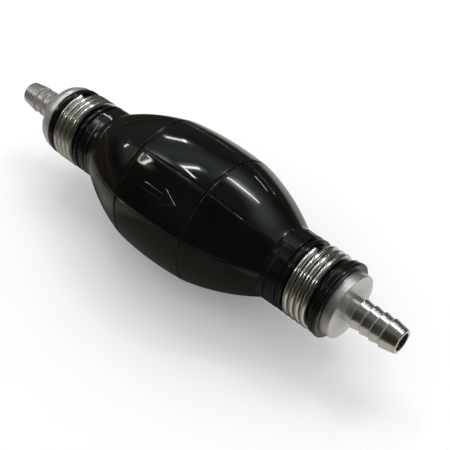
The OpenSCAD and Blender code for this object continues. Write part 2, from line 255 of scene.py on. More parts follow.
def wound(name, radius, turns, pitch, wire, x0, start, steps, sides):
    """A round wire wound on a helix: the centre line is (pitch t, r cos t, r sin t), and a
    circle square to it is carried along. A straight run as long as the wire is thick goes on at
    each end in the wire's own direction, and its last rings shrink, as a cut end is eased."""
    t = np.linspace(0, turns * 2 * np.pi, int(turns * steps) + 1)
    slope = pitch / (2 * np.pi)
    # distance along the straight run, with the share of the wire's radius that is kept there
    ease = np.array([[-1.0, 0.72], [-0.9, 0.93], [-0.75, 1.0], [-0.5, 1.0]]) * [wire, 1]
    t_all = np.concatenate([np.full(len(ease), t[0]), t, np.full(len(ease), t[-1])])
    slide = np.concatenate([ease[:, 0], np.zeros(len(t)), -ease[::-1, 0]])
    keep = np.concatenate([ease[:, 1], np.ones(len(t)), ease[::-1, 1]])
    a = t_all + math.radians(start)
    direction = np.stack([np.full(len(a), slope), -radius * np.sin(a), radius * np.cos(a)], -1)
    direction /= np.linalg.norm(direction, axis=1, keepdims=True)
    centre = np.stack([x0 + slope * t_all, radius * np.cos(a), radius * np.sin(a)], -1)
    centre += direction * slide[:, None]
    outward = np.stack([np.zeros(len(a)), np.cos(a), np.sin(a)], -1)
    sideways = np.cross(direction, outward)
    ring = np.linspace(0, 2 * np.pi, sides, endpoint=False)
    size = (wire / 2 * keep)[:, None, None]
    grid = centre[:, None] + size * (np.cos(ring)[None, :, None] * outward[:, None]
                                     + np.sin(ring)[None, :, None] * sideways[:, None])
    # the side that faces the axis lies in the hollow between the turns, and gets painted shade
    inner = smooth_step(radius + 0.2 * wire, radius - 0.23 * wire, np.hypot(*grid[..., 1:].T).T)
    return grid_piece(name, grid, False, {"hollow": inner.ravel()})


# ---------------------------------------------------------------- the bulb

def arc_over(r0, x0, r1, x1, bulge, x):
    """Radius at x of the circular arc from (x0, r0) to (x1, r1) that rises by bulge over its
    chord: the centre lies on the chord's middle line, one radius below the arc's top."""
    chord = math.hypot(r1 - r0, x1 - x0)
    radius = (chord * chord / 4 + bulge * bulge) / (2 * bulge)
    cx = (x0 + x1) / 2 - (radius - bulge) * (r0 - r1) / chord
    cr = (r0 + r1) / 2 - (radius - bulge) * (x1 - x0) / chord
    return cr + np.sqrt(np.maximum(radius ** 2 - (x - cx) ** 2, 0))


def long_profile(x, add=0.0):
    """Radius at the middle of a panel, moved out by add: one arc over the belly between the two
    rings, and one over each shoulder."""
    ring, end = RING_R + add, SHOULDER_END_R + add
    belly = arc_over(ring, -RING_X, ring, RING_X, BELLY_RISE, x)
    shoulder = arc_over(ring, RING_X, end, CREASE_X, SHOULDER_BULGE, np.abs(x))
    return np.where(np.abs(x) < RING_X, belly, shoulder)


def from_middle(angle):
    """The angle from the middle of the nearest panel."""
    return (angle + PANEL_ANGLE / 2) % PANEL_ANGLE - PANEL_ANGLE / 2


def bulb_radius(x, angle):
    """Radius of the bulb's skin. A panel is a lathe about a line s = PANEL_SHIFT behind the
    axis, so its radius is sqrt(R^2 - s^2 sin^2 d) - s cos d, with d the angle from its middle
    and R its profile plus s. The grooves along the panels' edges and the two rings are sunk in,
    and the neck's cylinder is joined by a smooth greater-of, w log(e^(r/w) + e^(neck/w))."""
    d = from_middle(angle)
    reach = long_profile(x) + PANEL_SHIFT
    r = np.sqrt(reach ** 2 - (PANEL_SHIFT * np.sin(d)) ** 2) - PANEL_SHIFT * np.cos(d)
    from_edge = r * (PANEL_ANGLE / 2 - np.abs(d))
    from_ring = np.abs(np.abs(x) - RING_X)
    grooved = 1 - smooth_step(*GROOVE_FADE, np.abs(x))
    edge_roll = np.exp(-(from_edge / EDGE_ROLL_WIDTH) ** 2)
    ring_roll = np.exp(-(from_ring / RING_ROLL_WIDTH) ** 2)
    r = r - EDGE_EASE * edge_roll * (1 - grooved)
    r = r - EDGE_ROLL * grooved * edge_roll - RING_ROLL * ring_roll
    r = r - GROOVE_DEPTH * (grooved * (1 - smooth_step(*EDGE_BAND, from_edge)))
    floor = np.minimum(r, RING_R - GROOVE_DEPTH)
    r = r + (floor - r) * (1 - smooth_step(*RING_BAND, from_ring))
    joined = NECK_BLEND * np.logaddexp(r / NECK_BLEND, NECK_R / NECK_BLEND)
    return np.where(np.abs(x) > NECK_BLEND_X, joined, r)


# The necks' ends, in rows of (x, radius, fillet) like every outline here. Both start where the
# clamp's seat ends: the outlet's with a lip, the inlet's with a crowned end.
OUTLET_LIP = np.array([
    [62.0, CLAMP_SEAT_R, 0.2], [62.15, NECK_R, 0.55], [63.7, NECK_R, 0.5], [63.9, 13.15, 0.15],
    [64.2, LIP_R, 0.5], [NECK_END, LIP_R, 0.6], [NECK_END, SPIGOT_R + SPIGOT_PLAY, 0.1]])
INLET_CROWN = np.array([
    [61.5, CLAMP_SEAT_R, 0.2], [61.6, CROWN_R, 0.35], [63.0, NECK_R + 0.02, 0.8],
    [INLET_NECK_END, CROWN_R, 0.6], [INLET_NECK_END, SPIGOT_R + SPIGOT_PLAY, 0.1]])


def neck_outline(set_back, tail):
    """A neck from beside the crease to its end: the plain length, a shallow groove, the collar
    and the clamp's seat, all but the first set_back closer to the bulb, and then the tail,
    which carries the seat's end."""
    fixed = [[43.6, NECK_R, 0], [44.6, NECK_R, 0.3]]
    moved = np.array([
        [47.85, NECK_R, 0.25], [48.25, NECK_GROOVE_R, 0.25], [48.95, NECK_GROOVE_R, 0.25],
        [49.3, NECK_R, 0.5], [50.6, NECK_R, 0.5], [50.75, CLAMP_SEAT_R, 0.2]])
    return np.concatenate([fixed, moved - [set_back, 0, 0], tail])


def spigot_ribs(gap):
    """The spigot's holding ribs, from the flange inwards, grown by gap. Each rises squarely,
    has a short land and falls away to the spigot's own radius."""
    low, high = SPIGOT_R + gap, SPIGOT_R + gap + RIB_RISE
    rib = ((0, low), (0, high), (RIB_LAND, high), (RIB_LENGTH, low))
    return np.array([[x - step, radius, 0.05] for x in RIB_ENDS for step, radius in rib])


def make_bulb():
    """The bulb is one closed shell. Its rows walk out along the outlet's neck, back through the
    hollow, round the inlet's neck and over the panels to where they began. Over the panels the
    radius is bulb_radius, and elsewhere the outline's own. Columns are close together at the
    panels' edges, and the lowest panel is pressed flat where the pump rests."""
    inside = np.concatenate([spigot_ribs(SPIGOT_PLAY),
                             [[CREASE_X - 0.6, SPIGOT_R + SPIGOT_PLAY, 0.1]]])
    right = np.concatenate([neck_outline(0, OUTLET_LIP), inside])
    left = np.concatenate([neck_outline(INLET_SET_BACK, INLET_CROWN), inside])
    x_in = np.linspace(CREASE_X - 1, 1 - CREASE_X, 61)
    hollow = np.stack([x_in, long_profile(x_in, -WALL), 0 * x_in], -1)
    corners = np.concatenate([right, hollow, (left * [-1, 1, 1])[::-1]])
    rounded = filleted(corners).reshape(len(corners), -1, 2)
    # the hollow has no corners to round, so each of its stations stays one point
    outline = np.concatenate([rounded[:len(right)].reshape(-1, 2), hollow[:, :2],
                              rounded[-len(left):].reshape(-1, 2)])
    # stations over the panels, close together at the rings and the creases
    side, before, after, neck = 41.0, RING_X - 1.6, RING_X + 1.6, 43.4
    over = spread((-neck, -side, 18), (-side, -after, 34), (-after, -before, 26),
                  (-before, before, 30), (before, after, 26), (after, side, 34),
                  (side, neck, 18))[:, None]
    near = math.radians(2.3)
    steps = spread((-near, near, 14), (near, PANEL_ANGLE - near, 16)) + PANEL_ANGLE / 2
    angle = (steps[None] + PANEL_ANGLE * np.arange(PANELS)[:, None]).ravel()
    x = np.concatenate([outline[:, :1], over])
    radius = np.concatenate([np.repeat(outline[:, 1:], len(angle), 1), bulb_radius(over, angle)])
    grid = np.stack(np.broadcast_arrays(x, radius * np.cos(angle), radius * np.sin(angle)), -1)
    grid[..., 2] = np.maximum(grid[..., 2], REST_Z)
    # how deep in a groove each point lies, for the dust that gathers there
    from_edge = RING_R * (PANEL_ANGLE / 2 - np.abs(from_middle(angle)))
    in_edge = ((1 - smooth_step(*DUST_BAND, from_edge))
               * (1 - smooth_step(*DUST_FADE, np.abs(over))))
    in_ring = 1 - smooth_step(*DUST_BAND, np.abs(np.abs(over) - RING_X))
    groove = np.concatenate([np.zeros((len(outline), len(angle))), np.maximum(in_edge, in_ring)])
    return grid_piece("rubber_bulb", grid, True, {"hollow": groove.ravel()})


def make_arrow():
    """The raised block arrow that shows the way of the flow, on the panel at 135 degrees. Its
    top stands off the panel by a height that grows from nothing at the outline to the full
    rise over a bevel, by the distance to the nearest side. A row near each side is sunk in the
    rubber, and the underside closes the shell."""
    tail, neck, tip, shaft, head = -6.2, 2.5, 9.2, 1.2, 3.2
    rise, bevel, sunk, thick, blunt = 0.25, 0.3, 0.03, 0.6, 0.05
    dust_width, dust_share = 0.15, 3.2
    shaft_rows, head_rows = 72, 60
    corners = np.array([[tail, -shaft], [neck, -shaft], [neck, -head], [tip, 0], [neck, head],
                        [neck, shaft], [tail, shaft]])
    x = np.concatenate([np.linspace(tail, neck, shaft_rows),
                        np.linspace(neck, tip - blunt, head_rows)])
    half = np.concatenate([np.full(shaft_rows, shaft),
                           head * (tip - x[shaft_rows:]) / (tip - neck)])
    u = np.sin(np.linspace(-np.pi / 2, np.pi / 2, 33))
    px, pv = np.broadcast_arrays(x[:, None], half[:, None] * u)
    away = np.full(px.shape, np.inf)
    for a, b in zip(corners, np.roll(corners, -1, 0)):
        along = b - a
        t = np.clip(((px - a[0]) * along[0] + (pv - a[1]) * along[1]) / (along @ along), 0, 1)
        away = np.minimum(away, np.hypot(px - a[0] - t * along[0], pv - a[1] - t * along[1]))
    angle = math.radians(135) + pv / RING_R
    skin = bulb_radius(px, angle)
    top = skin + rise * smooth_step(0, bevel, away) - sunk
    under = skin - thick
    # each ring of columns goes over the top and back underneath
    x = np.concatenate([px, px], 1)
    r = np.concatenate([top, under[:, ::-1]], 1)
    turn = np.concatenate([angle, angle[:, ::-1]], 1)
    # dust lies along the outline
    outline = np.exp(-((away - bevel / 2) / dust_width) ** 2)
    dusty = np.concatenate([outline, np.zeros(outline.shape)], 1).ravel()
    return grid_piece("flow_arrow", np.stack([x, r * np.cos(turn), r * np.sin(turn)], -1), False,
                      {"hollow": dust_share * dusty})


# ---------------------------------------------------------------- the fittings

def nipple(first, end):
    """A barbed nipple from the flange to its tip. Each barb rises steeply on the flange's side
    and falls away towards the tip, and the last one runs into the tip's long cone. A point on
    the slope before each root bounds the painted shade that darkens the root."""
    hollow_shade, root, crest = -0.5, -0.05, 0.15
    place = FLANGE_FACE + first + BARB_PITCH * np.arange(BARBS)
    fall = (BARB_R - ROOT_R) / (BARB_PITCH - (crest - root))
    before = ROOT_R + (root - hollow_shade) * fall * (np.arange(BARBS) > 0)
    barbs = np.stack([place + hollow_shade, before, np.full(BARBS, 0.05),
                      place + root, np.full(BARBS, ROOT_R), np.full(BARBS, 0.14),
                      place + crest, np.full(BARBS, BARB_R), np.full(BARBS, 0.12)], -1)
    return np.concatenate([[[FLANGE_FACE, ROOT_R, 0.3], [FLANGE_FACE + 0.7, ROOT_R, 0.05]],
                           barbs.reshape(-1, 3),
                           [[end, TIP_R - 0.15, 0.45], [end, BORE_R, 0.2]]])


def fitting(name, side, flange, first, end, inside):
    """A turned fitting from spigot to tip, and back through its bore and valve chamber. Its
    hollows, where the metal paints shade, are the roots of the barbs, the foot of the nipple
    and, twice as deep, the bore, and all but the nipple is satin."""
    spigot = np.array([[SPIGOT_END, CHAMBER_R, 0.1], [SPIGOT_END, SPIGOT_R, 0.3]])
    inner, outer = SNAP_SLOT
    slot = np.array([[outer, CHAMBER_R, 0.03], [outer, SNAP_SLOT_R, 0.03],
                     [inner, SNAP_SLOT_R, 0.03], [inner, CHAMBER_R, 0.03]])
    outline = filleted(np.concatenate([spigot, spigot_ribs(0)[::-1], flange,
                                       nipple(first, end), inside, slot]))
    x, r = outline[:, :1], outline[:, 1]
    # painted shade: the hollow value darkens the bore twice as much, and bands at the nipple's
    # foot and the barbs' roots
    shade_width, bore_shade, satin_from = 0.22, 2.0, 6.5
    shaded_at = FLANGE_FACE + np.append(0.15, first - 0.2 + BARB_PITCH * np.arange(BARBS))
    near = np.exp(-((x - shaded_at) / shade_width) ** 2).max(1)
    on_nipple = (r > TIP_R - 0.5) & (r < BARB_R)
    hollow = np.where(r < BORE_R + 0.1, bore_shade, near * on_nipple)
    return turned(name, outline * [side, 1],
                  {"hollow": hollow, "satin": smooth_step(BARB_R, satin_from, r)})


# A flange runs from the rubber's end to its face, and an inside from the bore to the chamber
INLET_FLANGE = np.array([
    [INLET_NECK_END, SPIGOT_R, 0.05], [INLET_NECK_END, INLET_FLANGE_R, 0.3],
    [66.4, INLET_FLANGE_R, 0.5], [FLANGE_FACE - 0.3, INLET_FLANGE_R - 1.1, 0.3],
    [FLANGE_FACE, INLET_FLANGE_R - 1.4, 0.2]])
OUTLET_FLANGE = np.array([
    [NECK_END, SPIGOT_R, 0.05], [NECK_END, FLANGE_R, 0.3], [FLANGE_FACE, FLANGE_R, 0.35]])
INLET_INSIDE = np.array([[62.7, BORE_R, 0.1], [62.7, 6.3, 0.03], [61.8, 6.3, 0.03],
                         [61.8, CHAMBER_R, 0.1]])
OUTLET_INSIDE = np.array([[67.0, BORE_R, 0.2], [64.2, 6.0, 0.05], [64.2, CHAMBER_R, 0.1]])


# ---------------------------------------------------------------- finishes

def add_node(tree, kind, inputs=None, **settings):
    """Adds a shader node with its settings and the values of its named inputs."""
    made = tree.nodes.new(kind)
    for key, value in settings.items():
        setattr(made, key, value)
    for key, value in (inputs or {}).items():
        made.inputs[key].default_value = value
    return made


def feed(tree, socket, value):
    """Gives an input its value: a number, a colour, or another node's output to link."""
    if isinstance(value, tuple):
        socket.default_value = (*value, 1)
    elif isinstance(value, (int, float)):
        socket.default_value = value
    else:
        tree.links.new(value, socket)


def math_node(tree, operation, *operands, clamp=False):
    """A Math node of operands that are numbers or outputs."""
    made = add_node(tree, "ShaderNodeMath", operation=operation, use_clamp=clamp)
    for slot, value in enumerate(operands):
        feed(tree, made.inputs[slot], value)
    return made.outputs[0]


def add_share(tree, value, share, base):
    """value times share, plus base."""
    return math_node(tree, "MULTIPLY_ADD", value, share, base)


def ramp_node(tree, value, low, high, to_low=0.0, to_high=1.0):
    """Maps value from low..high to to_low..to_high, with smooth ends."""
    made = add_node(tree, "ShaderNodeMapRange", interpolation_type="SMOOTHSTEP",
                    inputs={"From Min": low, "From Max": high, "To Min": to_low,
                            "To Max": to_high})
    tree.links.new(value, made.inputs["Value"])
    return made.outputs["Result"]


def mix_node(tree, share, first, second):
    """Mixes two colours, which are sockets 6 and 7 of a Mix node."""
    made = add_node(tree, "ShaderNodeMix", data_type="RGBA")
    tree.links.new(share, made.inputs["Factor"])
    feed(tree, made.inputs[6], first)
    feed(tree, made.inputs[7], second)
    return made.outputs[2]


def new_group(name, inputs, outputs):
    """An empty node group with float sockets, each input (name, default). Gives the group, the
    sockets that bring its inputs and those that take its results."""
    group = bpy.data.node_groups.new(name, "ShaderNodeTree")
    for label, default in inputs:
        socket = group.interface.new_socket(label, in_out="INPUT", socket_type="NodeSocketFloat")
        socket.default_value = default
    for label in outputs:
        group.interface.new_socket(label, in_out="OUTPUT", socket_type="NodeSocketFloat")
    given = group.nodes.new("NodeGroupInput").outputs
    return group, given, group.nodes.new("NodeGroupOutput").inputs


def noise(tree, scale, detail):
    """Noise over Object coordinates; scale is a number or an output."""
    made = add_node(tree, "ShaderNodeTexNoise", inputs={"Detail": detail})
    place = add_node(tree, "ShaderNodeTexCoord")
    tree.links.new(place.outputs["Object"], made.inputs["Vector"])
    feed(tree, made.inputs["Scale"], scale)
    return made.outputs["Fac"]


def blotch_group():
    """Slow patches with finer ones on them, from 0 to 1."""
    group, given, result = new_group("blotches", [("Scale", 60)], ["Value"])
    wide = noise(group, given["Scale"], 3)
    fine = noise(group, math_node(group, "MULTIPLY", given["Scale"], 7.0), 4)
    group.links.new(ramp_node(group, add_share(group, fine, 0.35, wide), 0.45, 0.9),
                    result["Value"])
    return group


def wear_group():
    """Rubbed edges: where the normal rounded over Radius departs from the surface's own, broken
    up by noise as far as Breaks says."""
    group, given, result = new_group(
        "edge_wear", [("Radius", 0.0003), ("Amount", 1), ("Breaks", 1)], ["Mask"])
    bevel = add_node(group, "ShaderNodeBevel", samples=4)
    group.links.new(given["Radius"], bevel.inputs["Radius"])
    shape = add_node(group, "ShaderNodeNewGeometry")
    match = add_node(group, "ShaderNodeVectorMath", operation="DOT_PRODUCT")
    group.links.new(bevel.outputs["Normal"], match.inputs[0])
    group.links.new(shape.outputs["Normal"], match.inputs[1])
    turn = ramp_node(group, math_node(group, "SUBTRACT", 1.0, match.outputs["Value"]), 0.01, 0.14)
    gaps = ramp_node(group, noise(group, 900, 3), 0.3, 0.62, 0.7, 0.0)
    kept = math_node(group, "SUBTRACT", 1.0, math_node(group, "MULTIPLY", gaps, given["Breaks"]))
    mask = math_node(group, "MULTIPLY", turn, kept)
    group.links.new(math_node(group, "MULTIPLY", mask, given["Amount"], clamp=True),
                    result["Mask"])
    return group


def tool_group():
    """Lathe marks: noise along x plus the radius, so that rings run round a cylinder, a cone
    and a face alike, as fine lines and as slow bands."""
    group, given, result = new_group("tool_marks", [("Lines", 6000)], ["Lines", "Bands"])
    place = add_node(group, "ShaderNodeTexCoord")
    parts = add_node(group, "ShaderNodeSeparateXYZ")
    group.links.new(place.outputs["Object"], parts.inputs[0])
    squares = [math_node(group, "POWER", parts.outputs[k], 2.0) for k in (1, 2)]
    radius = math_node(group, "SQRT", math_node(group, "ADD", *squares))
    run = math_node(group, "ADD", parts.outputs[0], radius)
    for label, share in (("Lines", 1.0), ("Bands", 0.16)):
        made = add_node(group, "ShaderNodeTexNoise", noise_dimensions="1D",
                        inputs={"Scale": 1, "Detail": 3})
        size = math_node(group, "MULTIPLY", given["Lines"], share)
        group.links.new(math_node(group, "MULTIPLY", run, size), made.inputs["W"])
        group.links.new(ramp_node(group, made.outputs["Fac"], 0.3, 0.7), result[label])
    return group


def dust_group():
    """Dust: thin and patchy on what faces up, thicker in a Cavity, in fine grains."""
    group, given, result = new_group("settled_dust", [("Cavity", 0), ("Amount", 0.1)], ["Mask"])
    shape = add_node(group, "ShaderNodeNewGeometry")
    parts = add_node(group, "ShaderNodeSeparateXYZ")
    group.links.new(shape.outputs["Normal"], parts.inputs[0])
    flat = ramp_node(group, parts.outputs[2], 0.2, 1.0)
    thin = math_node(group, "MULTIPLY", flat, ramp_node(group, noise(group, 70, 4), 0.45, 0.7))
    spread_out = math_node(group, "MULTIPLY", thin, given["Amount"])
    in_hollows = math_node(group, "MULTIPLY", given["Cavity"],
                       ramp_node(group, noise(group, 400, 4), 0.35, 0.65, 0.4, 1.0))
    total = math_node(group, "ADD", spread_out, in_hollows)
    grain = ramp_node(group, noise(group, 4500, 2), 0.35, 0.65, 0.5, 1.0)
    group.links.new(math_node(group, "MULTIPLY", total, grain, clamp=True), result["Mask"])
    return group


GROUPS = {"blotches": blotch_group(), "edge_wear": wear_group(), "tool_marks": tool_group(),
          "settled_dust": dust_group()}


def use_group(tree, name, **values):
    """Places a shared group with its own values, each a number or an output."""
    made = add_node(tree, "ShaderNodeGroup", node_tree=GROUPS[name])
    for key, value in values.items():
        feed(tree, made.inputs[key.capitalize()], value)
    return made.outputs


def blank_material(name):
    """A new material, its node tree and the inputs of its Principled shader."""
    material = bpy.data.materials.new(name)
    material.use_nodes = True
    return material, material.node_tree, material.node_tree.nodes["Principled BSDF"].inputs


def bump(tree, shader, *layers):
    """Chains Bump nodes, each layer (height, distance in metres), into the shader's normal."""
    last = None
    for height, distance in layers:
        made = add_node(tree, "ShaderNodeBump", inputs={"Distance": distance})
        tree.links.new(height, made.inputs["Height"])
        if last:
            tree.links.new(last, made.inputs["Normal"])
        last = made.outputs["Normal"]
    tree.links.new(last, shader["Normal"])


def mesh_value(tree, name):
    """The mesh's own value of that name, and 0 on a mesh without it."""
    return add_node(tree, "ShaderNodeAttribute", attribute_name=name).outputs["Fac"]


def rubber(name, dark, light, gloss, wear, dust):
    """Moulded rubber: two near blacks in patches, a skin that waves and is faintly grained,
    edges rubbed grey, and a little brown dust that gathers in the hollows."""
    material, tree, shader = blank_material(name)
    patch = use_group(tree, "blotches", scale=55)["Value"]
    cavity = math_node(tree, "MULTIPLY", mesh_value(tree, "hollow"), 0.07)
    settled = use_group(tree, "settled_dust", cavity=cavity, amount=dust)["Mask"]
    edge = use_group(tree, "edge_wear", radius=0.0004, amount=wear, breaks=0.3)["Mask"]
    tone = mix_node(tree, patch, dark, light)
    tone = mix_node(tree, edge, tone, RUBBED_GREY)
    tone = mix_node(tree, settled, tone, DUST)
    tree.links.new(tone, shader["Base Color"])
    rough = add_share(tree, settled, 0.4, add_share(tree, patch, 0.025, gloss))
    tree.links.new(rough, shader["Roughness"])
    bump(tree, shader, (noise(tree, 110, 1), 0.00003), (noise(tree, 2600, 3), 0.0000012))
    return material


def metal(name, dark, light, rough, marks, wear=0.6, hollow_shade=0.0, tarnish=0.0, haze=0.01):
    """Bare or plated metal: two tones in patches, lathe marks in colour, gloss and height,
    edges rubbed bright, stains, and a dull brown in the hollows that is painted shade. Where the
    mesh is satin it is rougher and paler. Haze is the share of it that is dull white rather than
    metal."""
    edge_tone, band_tone, band_share = 1.10, 0.88, 0.30
    material, tree, shader = blank_material(name)
    patch = use_group(tree, "blotches", scale=90)["Value"]
    lines = use_group(tree, "tool_marks", lines=marks)
    edge = use_group(tree, "edge_wear", radius=0.0003, amount=wear)["Mask"]
    tone = mix_node(tree, patch, dark, light)
    band = math_node(tree, "MULTIPLY", lines["Bands"], band_share)
    tone = mix_node(tree, band, tone, tuple(band_tone * c for c in dark))
    tone = mix_node(tree, edge, tone, tuple(min(1.0, edge_tone * c) for c in light))
    dull = add_share(tree, lines["Lines"], 0.06, add_share(tree, patch, 0.06, rough))
    dull = add_share(tree, edge, -0.06, dull)
    satin = mesh_value(tree, "satin")
    dull = add_share(tree, satin, 0.13, dull)
    solid = add_share(tree, satin, -0.05, 1 - haze)
    if tarnish:
        stain = math_node(tree, "MULTIPLY", ramp_node(tree, noise(tree, 260, 5), 0.5, 0.72),
                          tarnish)
        tone = mix_node(tree, stain, tone, TARNISH)
        dull = add_share(tree, stain, 0.2, dull)
    # painted shade: the hollows turn dull brown, rougher and less metallic, for the shade in a
    # bore, at the barbs' roots and between a clamp's turns
    if hollow_shade:
        in_hollows = math_node(tree, "MULTIPLY", mesh_value(tree, "hollow"), hollow_shade)
        shaded = math_node(tree, "MULTIPLY", in_hollows,
                         ramp_node(tree, noise(tree, 500, 4), 0.2, 0.6, 0.6, 1.0))
        tone = mix_node(tree, shaded, tone, HOLLOW_SHADE)
        dull = add_share(tree, shaded, 0.35, dull)
        solid = add_share(tree, shaded, -0.7, solid)
    tree.links.new(solid, shader["Metallic"])
    tree.links.new(tone, shader["Base Color"])
    tree.links.new(dull, shader["Roughness"])
    bump(tree, shader, (lines["Lines"], 0.000002), (lines["Bands"], 0.000003))
    return material


def acetal_material():
    """Natural acetal: off-white, slightly mottled, with faint turning lines."""
    material, tree, shader = blank_material("acetal")
    patch = use_group(tree, "blotches", scale=140)["Value"]
    lines = use_group(tree, "tool_marks", lines=5000)
    edge = use_group(tree, "edge_wear", radius=0.0002, amount=0.5)["Mask"]
    tone = mix_node(tree, patch, (0.74, 0.71, 0.63), (0.82, 0.79, 0.72))
    tone = mix_node(tree, edge, tone, (0.90, 0.88, 0.83))
    tree.links.new(tone, shader["Base Color"])
    tree.links.new(ramp_node(tree, lines["Lines"], 0, 1, 0.30, 0.44), shader["Roughness"])
    bump(tree, shader, (lines["Lines"], 0.000003), (noise(tree, 1500, 2), 0.000002))
    return material


# ---------------------------------------------------------------- camera, light and floor

def unit(azimuth, elevation):
    """The direction with that azimuth, from +x towards +y, and elevation, in degrees."""
    a, e = np.radians(azimuth), np.radians(elevation)
    return np.stack([np.cos(e) * np.cos(a), np.cos(e) * np.sin(a), np.sin(e)], -1)


def make_camera():
    """The camera looks against CAMERA_BACK, with the table's up upwards in the picture."""
    back = np.array(CAMERA_BACK)
    back /= np.linalg.norm(back)
    right = np.cross([0, 0, 1], back)
    right /= np.linalg.norm(right)
    up = np.cross(back, right)
    data = bpy.data.cameras.new("camera")
    data.lens, data.sensor_width = LENS, SENSOR
    data.clip_start, data.clip_end = 0.01, 20
    camera = add_object("camera", data)
    across, above, away = CAMERA_PLACE
    place = (across * right + above * up + away * back) * MM
    turn = np.eye(4)
    turn[:3] = np.stack([right, up, back, place], -1)
    camera.matrix_world = Matrix(turn.tolist())
    bpy.context.scene.camera = camera


def softbox(name, azimuth, elevation, wide, high, radiance, tint=(1, 1, 1), roll=0.0,
            mirrored=True):
    """A rectangular lamp that faces the pump and, seen from it, spans wide by high degrees,
    rolled about its own axis. Its power is radiance times pi times its area, and only a
    mirrored one shows in the pump's gloss."""
    data = bpy.data.lights.new(name, "AREA")
    data.shape = "RECTANGLE"
    data.size = 2 * LAMP_DISTANCE * math.tan(math.radians(wide / 2))
    data.size_y = 2 * LAMP_DISTANCE * math.tan(math.radians(high / 2))
    data.energy = radiance * math.pi * data.size * data.size_y
    data.color = tint
    lamp = add_object(name, data)
    lamp.visible_glossy = mirrored
    where = Vector(unit(azimuth, elevation))
    turn = where.to_track_quat("Z", "Y").to_matrix() @ Matrix.Rotation(math.radians(roll), 3, "Z")
    lamp.location = where * LAMP_DISTANCE
    lamp.rotation_euler = turn.to_euler()


def card_material(name):
    """A plain glow that takes its colour from the card's own glow attribute."""
    material, tree, _ = blank_material(name)
    tree.nodes.clear()
    colour = add_node(tree, "ShaderNodeAttribute", attribute_name="glow")
    shine = add_node(tree, "ShaderNodeEmission")
    result = add_node(tree, "ShaderNodeOutputMaterial")
    tree.links.new(colour.outputs["Color"], shine.inputs["Color"])
    tree.links.new(shine.outputs[0], result.inputs[0])
    material.cycles.emission_sampling = "NONE"
    return material


def reflector(card):
    """Makes a card of the studio show only in reflections, as part of the stage."""
    card.data.materials.append(card_material(card.name))
    card.visible_camera = card.visible_diffuse = card.visible_shadow = False
    card.visible_transmission = card.visible_volume_scatter = False


def soft_card(across, along, wide, high, soft, roll=0.0):
    """1 inside a rectangle of half width wide and half height high about zero, turned by roll
    degrees, and 0 outside, with edges that fade over twice soft."""
    c, s = math.cos(math.radians(roll)), math.sin(math.radians(roll))
    across, along = across * c + along * s, along * c - across * s
    return ((1 - smooth_step(wide - soft, wide + soft, np.abs(across)))
            * (1 - smooth_step(high - soft, high + soft, np.abs(along))))


def make_dome():
    """The studio above the table as the pump's gloss sees it: a dome of dim cards with soft
    edges, each (azimuth, elevation, half width, half height, softness, roll, radiance, tint).
    The last six are a warm window: its four bright sides, its dimmer pane and its halo."""
    az, el = np.meshgrid(spread((-180, -158, 16), (-158, -142, 64), (-142, 60, 130),
                                (60, 110, 80), (110, 180, 70)),
                         spread((-89.5, 30, 60), (30, 46, 64), (46, 70, 56), (70, 90, 14)),
                         indexing="ij")
    cards = [
        (118, 53, 62, 10, 8, 0, 0.36, (0.88, 1.02, 1.06)),
        (84, 57, 22, 8, 7, 0, 0.45, (0.95, 1.0, 1.03)),
        (141, 39, 9, 3, 4, 0, 0.26, (0.95, 1.0, 1.0)),
        (148, 47, 14, 5, 6, 0, 0.12, (0.95, 1.0, 1.0)),
        (85.0, 58.4, 7.0, 1.8, 5.0, 22, 7.5, (0.95, 1.0, 1.03)),
        (151, 58.5, 5.5, 0.8, 3.0, 0, 5.0, (0.97, 1.0, 1.03)),
        (140, 36.4, 4.5, 0.8, 2.2, 0, 3.0, (0.95, 1.0, 1.03)),
        (135, 24, 45, 14, 10, 0, 0.09, (0.94, 1.03, 0.97)),
        (130, 0, 55, 14, 10, 0, 0.03, (1.0, 1.0, 0.9)),
        (110, 80, 180, 14, 10, 0, 0.10, (0.95, 1.0, 1.0)),
        (-165, 23, 9, 8, 7, 0, 0.42, (1.0, 1.0, 0.88)),
        (-178, 44, 9, 12, 6, 0, 0.40, (1.0, 1.0, 0.94)),
        (-168, -9, 22, 8, 8, 0, 0.18, (1.0, 0.92, 0.70)),
        (-129, 45, 26, 22, 14, 0, 0.04, (1.0, 0.95, 0.8)),
        (20, 25, 40, 25, 20, 0, 0.08, (1.0, 0.97, 0.90)),
        (-22, 38, 2.0, 2.0, 0.8, 0, 12, (1.0, 0.98, 0.92)),
        (175, 52, 5, 3.5, 3, 0, 2.4, (0.92, 1.0, 1.04)),
        (-152.1, 36.0, 4.4, 0.35, 0.35, -44, 12, (1.0, 0.93, 0.82)),
        (-148.0, 38.0, 3.4, 0.65, 0.4, -62, 18, (1.0, 0.94, 0.82)),
        (-146.9, 34.0, 1.2, 0.5, 0.4, 59, 14, (1.0, 0.93, 0.80)),
        (-152.7, 41.0, 1.8, 0.5, 0.4, 16, 14, (1.0, 0.94, 0.82)),
        (-150.4, 37.7, 3.6, 1.3, 0.9, -50, 1.6, (1.0, 0.74, 0.50)),
        (-145.0, 37.0, 1.5, 2.5, 2.5, 0, 0.9, (1.0, 0.90, 0.70)),
    ]
    glow = np.array([0.014, 0.014, 0.009]) + np.zeros((*az.shape, 1))
    for azimuth, elevation, wide, high, soft, roll, radiance, tint in cards:
        off = ((az - azimuth + 180) % 360 - 180) * np.cos(np.radians(el))
        mask = soft_card(off, el - elevation, wide, high, soft, roll)
        glow = glow + (mask * radiance)[..., None] * np.array(tint)
    reflector(grid_piece("dome", np.swapaxes(unit(az, el), 0, 1) * DOME_R, False,
                         {"glow": np.swapaxes(glow, 0, 1).reshape(-1, 3)}))


